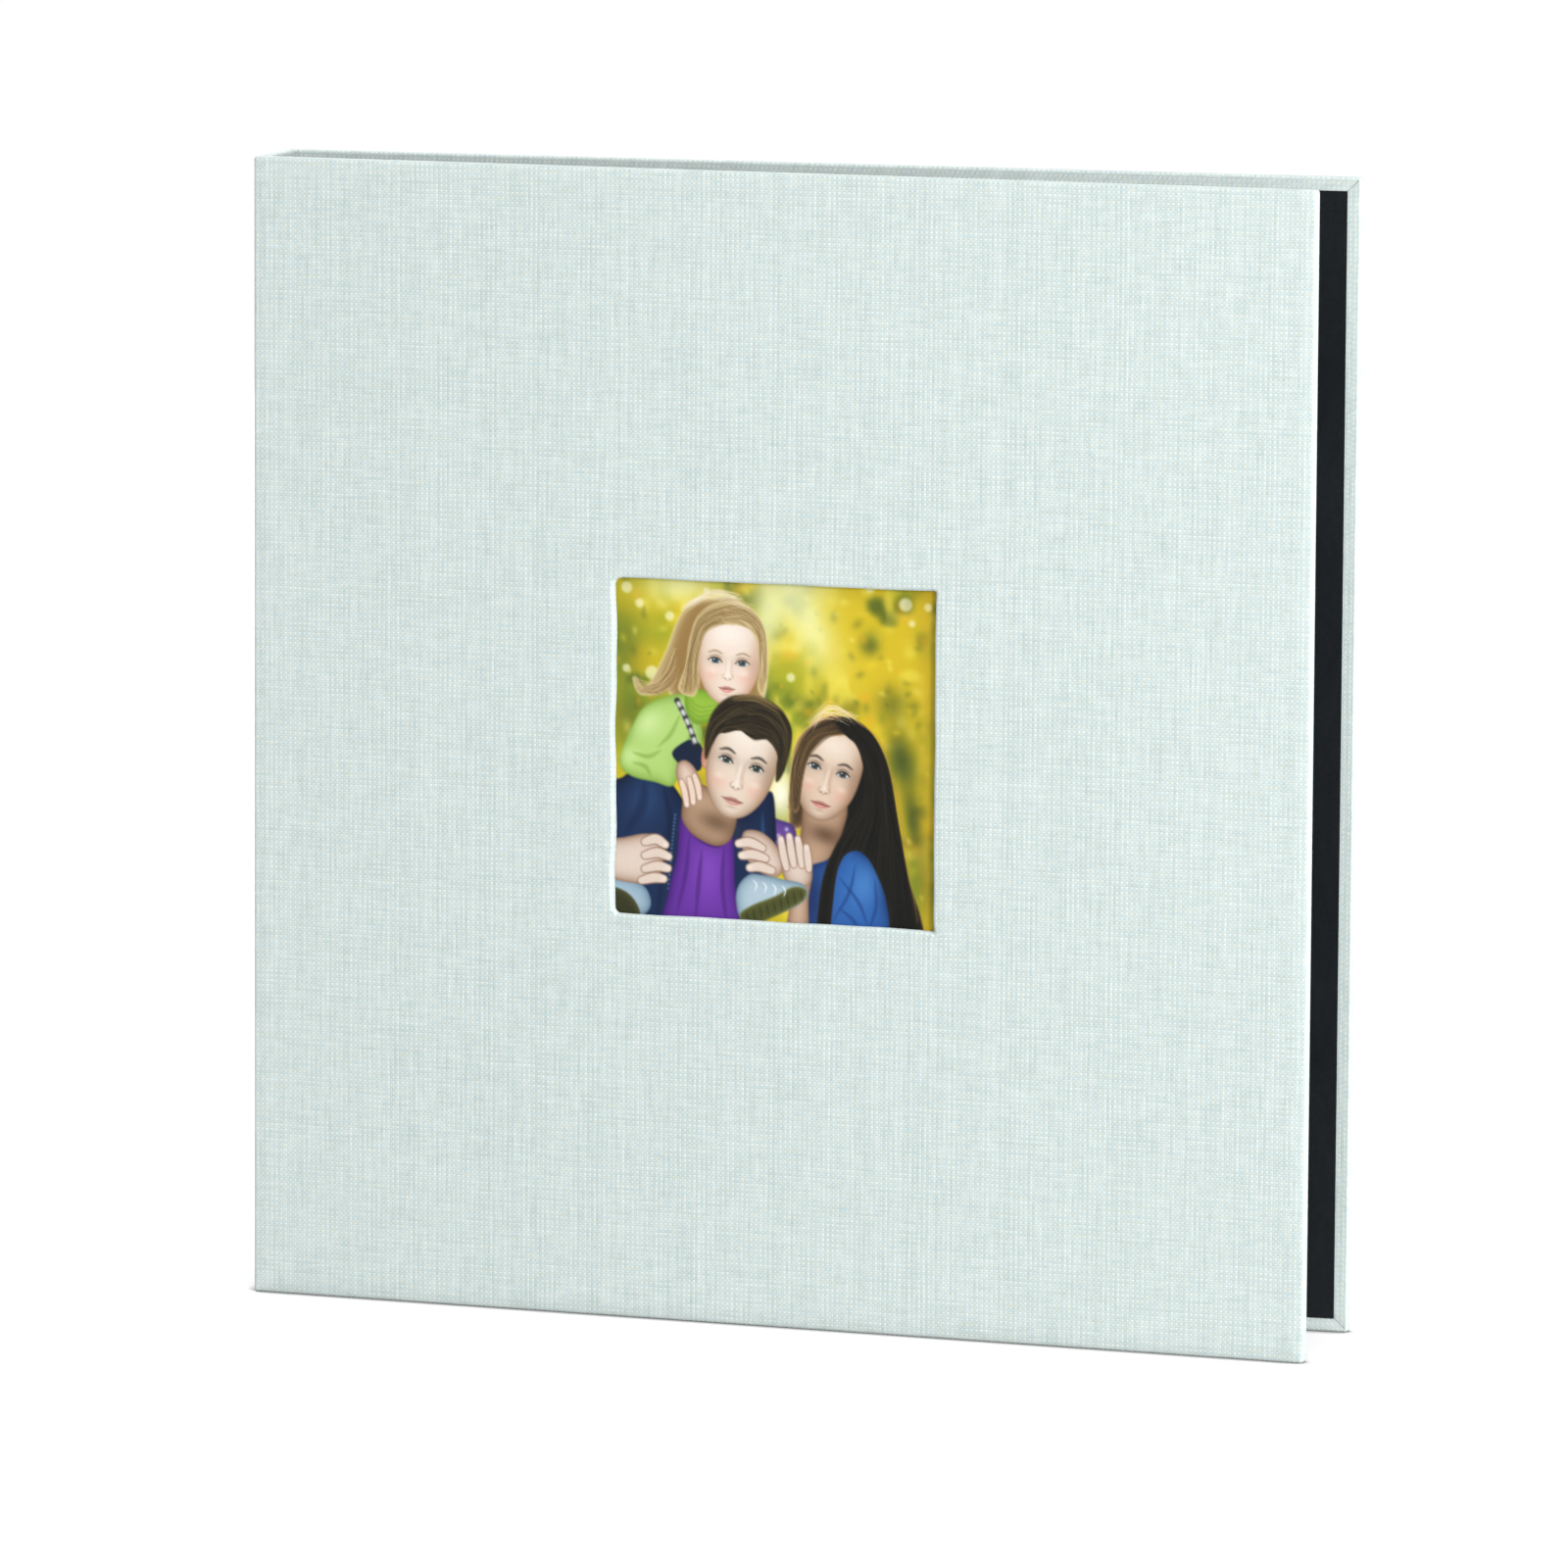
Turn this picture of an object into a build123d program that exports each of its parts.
"""Linen-covered scrapbook album with a picture window in its front cover.

The album stands on its bottom edges with the front cover a little ajar.
It is a hard case (two cover boards and a spine board in one linen cloth) around
a block of black pages.  The pages' stubs are held by three screw posts between
two binding strips, inside a folded channel that is glued to the spine board.

Axes: +X from the spine to the fore-edge, +Y from the front cover to the back
cover, +Z up.  Origin: centre of the bounding box's bottom face.  Millimetres.
"""

import os
from math import cos, radians, sin

from build123d import *

# ---- the case -----------------------------------------------------------------
COVER_WIDTH = 270.0
COVER_HEIGHT = 280.0
SPINE_GAP = 21.0  # between the inner faces of the closed covers
COVER_AJAR = 4.05  # opening angle of the front cover as it stands, degrees
HINGE_GAP = 0.3  # between a cover's edge and the spine

CLOTH = 0.4
ENDPAPER = 0.2
BACKING_BOARD = 1.0
OUTER_BOARD = 1.6
COVER_BOARD = BACKING_BOARD + OUTER_BOARD
TURN_IN = 15.0  # cloth folded onto the inner face
ENDPAPER_INSET = 3.3
ENDPAPER_SPINE_INSET = 1.0
SPINE_BOARD = 2.0
SPINE_TURN_IN = 12.0

# ---- the picture window in the front cover ------------------------------------
WINDOW = 82.0
WINDOW_FLANGE = 8.0  # cloth folded behind the outer board all round the window
FLANGE_CLOTH = 0.3
PRINT_SIZE = 90.0
PRINT_THICKNESS = 0.25
PRINT_CLEARANCE = 0.2

# ---- the pages ----------------------------------------------------------------
PAGE_COUNT = 20
PAGE_THICKNESS = 0.6
PAGE_FLEX = 15.0  # soft hinge strip between the stub and the stiff leaf
PAGE_FLEX_THICKNESS = 0.35
PAGE_EDGE = 258.5  # spine's outer face to the pages' fore-edge
PAGE_MARGIN = 10.5  # covers stand this far past the pages, top and bottom
PAGE_CORNER = 3.0
FAN = 0.95  # share of the cover's turn that an ideal first leaf would make
TOUCH_GAP = 0.05

# ---- the binding --------------------------------------------------------------
STUB_START = 3.2
STUB_END = 24.0
STRIP = 1.7
CHANNEL = 0.5
CHANNEL_MARGIN = 13.0
POST_X = 13.0
POST_SPACING = 90.0
POST_HOLE = 5.2
POST_OUTER = 5.0
POST_BORE = 3.4
SCREW_SHANK = 3.3
SCREW_LENGTH = 8.0
HEAD = 9.0
HEAD_THICKNESS = 1.0
HEAD_RECESS = 9.4
HEAD_RECESS_DEPTH = 1.1
BORE_DEPTH = 12.0
SLOT_WIDTH = 1.2
SLOT_DEPTH = 0.5

# ---- worked out ---------------------------------------------------------------
COVER_THICKNESS = ENDPAPER + CLOTH + COVER_BOARD + CLOTH
COVER_START = HINGE_GAP
COVER_END = HINGE_GAP + COVER_WIDTH
BOARD_INNER = ENDPAPER + CLOTH  # depth of the boards' inner face in a cover
BOARD_OUTER = BOARD_INNER + COVER_BOARD
BOARD_SPLIT = BOARD_INNER + BACKING_BOARD  # the two front boards meet here

# levels across the closed album, from the back cover's inner face at Y = 0
BACK_STRIP = -HINGE_GAP
BACK_CHANNEL = BACK_STRIP - STRIP
STUBS_BACK = BACK_CHANNEL - CHANNEL
FRONT_STRIP = -SPINE_GAP + HINGE_GAP
FRONT_CHANNEL = FRONT_STRIP + STRIP
STUBS_FRONT = FRONT_CHANNEL + CHANNEL
PAGE_PITCH = (STUBS_BACK - STUBS_FRONT) / PAGE_COUNT
MIDDLE = COVER_HEIGHT / 2
POST_HEIGHTS = [MIDDLE - POST_SPACING, MIDDLE, MIDDLE + POST_SPACING]

# the bounding box, with the front cover ajar
AJAR = radians(COVER_AJAR)
FRONT_REACH = SPINE_GAP + COVER_END * sin(AJAR) + COVER_THICKNESS * cos(AJAR)
ORIGIN = Vector(COVER_END / 2, (COVER_THICKNESS - FRONT_REACH) / 2, 0)


def block(x_low, x_high, y_low, y_high, z_low, z_high):
    """Block between two opposite corners."""
    size = (x_high - x_low, y_high - y_low, z_high - z_low)
    corner = (Align.MIN, Align.MIN, Align.MIN)
    return Pos(x_low, y_low, z_low) * Box(*size, align=corner)


def layer(inset, depth_low, depth_high, spine_inset=None):
    """Sheet of a cover, inset from its edges, between two depths from its inner face."""
    start = COVER_START + (inset if spine_inset is None else spine_inset)
    return block(start, COVER_END - inset, -depth_high, -depth_low, inset, COVER_HEIGHT - inset)


def window_block(size, depth_low, depth_high):
    """Square block centred on the picture window."""
    centre = Pos((COVER_START + COVER_END) / 2, -(depth_low + depth_high) / 2, MIDDLE)
    return centre * Box(size, depth_high - depth_low, size)


# ---- covers: each is made with its inner face at Y = 0 and its outer face at -Y ----
def cover_cloth():
    """Linen over the outer face and the edges, with turn-ins on three sides."""
    cloth = layer(0, ENDPAPER, COVER_THICKNESS)
    cloth -= layer(CLOTH, BOARD_INNER, BOARD_OUTER)
    cloth -= layer(TURN_IN, 0, BOARD_INNER, spine_inset=CLOTH)
    return cloth


def windowed_cloth():
    """Cover cloth that also turns in through the picture window and behind its edge."""
    flange_depth = BOARD_SPLIT - FLANGE_CLOTH
    cloth = cover_cloth() - window_block(WINDOW, BOARD_OUTER, COVER_THICKNESS)
    lining = window_block(WINDOW + 2 * CLOTH, flange_depth, COVER_THICKNESS)
    flange = window_block(WINDOW + 2 * WINDOW_FLANGE, flange_depth, BOARD_SPLIT)
    return cloth + (lining + flange - window_block(WINDOW, 0, COVER_THICKNESS))


def endpaper():
    """Black paper over the turn-ins, stepped down onto the bare board inside them."""
    paper = layer(ENDPAPER_INSET, 0, BOARD_INNER, spine_inset=ENDPAPER_SPINE_INSET)
    paper -= layer(TURN_IN + ENDPAPER, 0, CLOTH, spine_inset=0)
    turn_ins = layer(0, ENDPAPER, BOARD_INNER) - layer(TURN_IN, ENDPAPER, BOARD_INNER, spine_inset=0)
    return paper - turn_ins


def outer_board():
    """Front cover's outer board with the square window cut through it."""
    board = layer(CLOTH, BOARD_SPLIT, BOARD_OUTER)
    return board - window_block(WINDOW + 2 * CLOTH, BOARD_SPLIT, BOARD_OUTER)


def backing_board():
    """Front cover's inner board, recessed for the window's cloth flange and the print."""
    board = layer(CLOTH, BOARD_INNER, BOARD_SPLIT)
    flange_floor = BOARD_SPLIT - FLANGE_CLOTH
    print_floor = flange_floor - PRINT_THICKNESS
    board -= window_block(WINDOW + 2 * WINDOW_FLANGE + PRINT_CLEARANCE, flange_floor, BOARD_SPLIT)
    return board - window_block(PRINT_SIZE + PRINT_CLEARANCE, print_floor, BOARD_SPLIT)


def photo_print():
    """Square print that shows in the window."""
    face = BOARD_SPLIT - FLANGE_CLOTH
    return window_block(PRINT_SIZE, face - PRINT_THICKNESS, face)


def front_cover():
    """Front cover's pieces, turned to the angle at which the cover stands."""
    place = Pos(0, -SPINE_GAP, 0) * Rot(0, 0, -COVER_AJAR)
    pieces = {
        "front_cover_cloth": windowed_cloth(),
        "front_outer_board": outer_board(),
        "front_backing_board": backing_board(),
        "photo_print": photo_print(),
        "front_endpaper": endpaper(),
    }
    return {name: place * piece for name, piece in pieces.items()}


def back_cover():
    """Back cover's pieces, parallel to the XZ plane."""
    pieces = {
        "back_cover_cloth": cover_cloth(),
        "back_cover_board": layer(CLOTH, BOARD_INNER, BOARD_OUTER),
        "back_endpaper": endpaper(),
    }
    return {name: mirror(piece, about=Plane.XZ) for name, piece in pieces.items()}


# ---- spine and binding -----------------------------------------------------------
def spine_board():
    """Stiff board of the spine, inside its cloth."""
    front, back = FRONT_STRIP + CLOTH, BACK_STRIP - CLOTH
    return block(CLOTH, CLOTH + SPINE_BOARD, front, back, CLOTH, COVER_HEIGHT - CLOTH)


def spine_cloth():
    """Linen over the spine board, round its long edges and turned in at both ends."""
    inside = CLOTH + SPINE_BOARD
    bottom, top = SPINE_TURN_IN, COVER_HEIGHT - SPINE_TURN_IN
    cloth = block(0, inside + CLOTH, FRONT_STRIP, BACK_STRIP, 0, COVER_HEIGHT)
    cloth -= block(inside, inside + CLOTH, FRONT_STRIP, BACK_STRIP, bottom, top)
    return cloth - spine_board()


def rod(diameter, y_low, y_high):
    """Plain round rod along Y."""
    upright = Cylinder(diameter / 2, y_high - y_low, align=(Align.CENTER, Align.CENTER, Align.MIN))
    return Pos(0, y_low, 0) * Rot(-90, 0, 0) * upright


def post_holes(diameter, y_low, y_high):
    """Rods to cut across the binding at the three posts."""
    return [Pos(POST_X, 0, height) * rod(diameter, y_low, y_high) for height in POST_HEIGHTS]


def binding_channel():
    """Folded channel: web glued to the spine board, flanges clamped by the posts."""
    bottom, top = CHANNEL_MARGIN, COVER_HEIGHT - CHANNEL_MARGIN
    web_start = CLOTH + SPINE_BOARD
    channel = block(web_start, STUB_END, FRONT_CHANNEL, BACK_CHANNEL, bottom, top)
    channel -= block(web_start + CHANNEL, STUB_END, STUBS_FRONT, STUBS_BACK, bottom, top)
    return channel - post_holes(POST_HOLE, FRONT_CHANNEL, BACK_CHANNEL)


def binding_strip(outer_face, inner_face):
    """Board strip with holes for the posts and recesses that sink their heads."""
    low, high = sorted((outer_face, inner_face))
    bottom, top = CHANNEL_MARGIN, COVER_HEIGHT - CHANNEL_MARGIN
    strip = block(STUB_START, STUB_END, low, high, bottom, top) - post_holes(POST_HOLE, low, high)
    if outer_face == low:
        return strip - post_holes(HEAD_RECESS, low, low + HEAD_RECESS_DEPTH)
    return strip - post_holes(HEAD_RECESS, high - HEAD_RECESS_DEPTH, high)


def slotted_head(y_low, slot_low):
    """Flat post head with a straight screwdriver slot in one face."""
    half = SLOT_WIDTH / 2
    slot = block(-HEAD / 2, HEAD / 2, slot_low, slot_low + SLOT_DEPTH, -half, half)
    return rod(HEAD, y_low, y_low + HEAD_THICKNESS) - slot


def at_posts(piece):
    """The same fastener at each of the three posts."""
    return Compound([Pos(POST_X, 0, height) * piece for height in POST_HEIGHTS])


def post_barrels():
    """Front half of each screw post: head and threaded barrel."""
    head_back = FRONT_STRIP + HEAD_RECESS_DEPTH
    open_end = BACK_STRIP - HEAD_RECESS_DEPTH - TOUCH_GAP
    barrel = rod(POST_OUTER, head_back, open_end) - rod(POST_BORE, open_end - BORE_DEPTH, open_end)
    head_front = head_back - HEAD_THICKNESS
    return at_posts(slotted_head(head_front, head_front) + barrel)


def post_screws():
    """Back half of each screw post: head and screw."""
    head_front = BACK_STRIP - HEAD_RECESS_DEPTH
    head_back = head_front + HEAD_THICKNESS
    shank = rod(SCREW_SHANK, head_front - SCREW_LENGTH, head_front)
    return at_posts(slotted_head(head_front, head_back - SLOT_DEPTH) + shank)


# ---- pages -------------------------------------------------------------------------
def page_middle(number):
    """Y of a page's middle plane in the stub stack, page 1 next to the front cover."""
    return STUBS_FRONT + (number - 0.5) * PAGE_PITCH


def page_angle(number):
    """Opening angle of a page when the cover stands ajar: the pages fan out evenly."""
    return COVER_AJAR * FAN * (PAGE_COUNT + 1 - number) / (PAGE_COUNT + 1)


def page_place(number):
    """Crease of a page at the end of its stub, turned to the page's angle."""
    return Pos(STUB_END, page_middle(number), 0) * Rot(0, 0, -page_angle(number))


def page_stubs():
    """Punched stubs of all the pages, one sheet each."""
    bottom, top = PAGE_MARGIN, COVER_HEIGHT - PAGE_MARGIN
    sheets = []
    for number in range(1, PAGE_COUNT + 1):
        low = page_middle(number) - PAGE_PITCH / 2
        sheet = block(STUB_START, STUB_END, low, low + PAGE_PITCH, bottom, top)
        sheets.append(sheet - post_holes(POST_HOLE, low, low + PAGE_PITCH))
    return Compound(sheets)


def page_hinge_strips():
    """Soft strips that join each leaf to its stub."""
    half = PAGE_FLEX_THICKNESS / 2
    bottom, top = PAGE_MARGIN, COVER_HEIGHT - PAGE_MARGIN
    strip = block(TOUCH_GAP, PAGE_FLEX - TOUCH_GAP, -half, half, bottom, top)
    return Compound([page_place(number) * strip for number in range(1, PAGE_COUNT + 1)])


def page_leaf(number):
    """Stiff black leaf with rounded corners at its fore-edge."""
    half = PAGE_THICKNESS / 2
    leaf = block(PAGE_FLEX, PAGE_EDGE - STUB_END, -half, half, PAGE_MARGIN, COVER_HEIGHT - PAGE_MARGIN)
    corners = leaf.edges().filter_by(Axis.Y).group_by(Axis.X)[-1]
    return page_place(number) * fillet(corners, PAGE_CORNER)


def album():
    """Every piece of the album by name."""
    pieces = {
        "spine_board": spine_board(),
        "spine_cloth": spine_cloth(),
        "binding_channel": binding_channel(),
        "front_binding_strip": binding_strip(FRONT_STRIP, FRONT_CHANNEL),
        "back_binding_strip": binding_strip(BACK_STRIP, BACK_CHANNEL),
        "post_barrels": post_barrels(),
        "post_screws": post_screws(),
        "page_stubs": page_stubs(),
        "page_hinge_strips": page_hinge_strips(),
    }
    pieces.update(front_cover())
    pieces.update(back_cover())
    for number in range(1, PAGE_COUNT + 1):
        pieces[f"page_leaf_{number:02d}"] = page_leaf(number)
    return pieces


os.makedirs("parts", exist_ok=True)
for name, piece in album().items():
    export_step(Pos(-ORIGIN.X, -ORIGIN.Y, 0) * piece, f"parts/{name}.step")
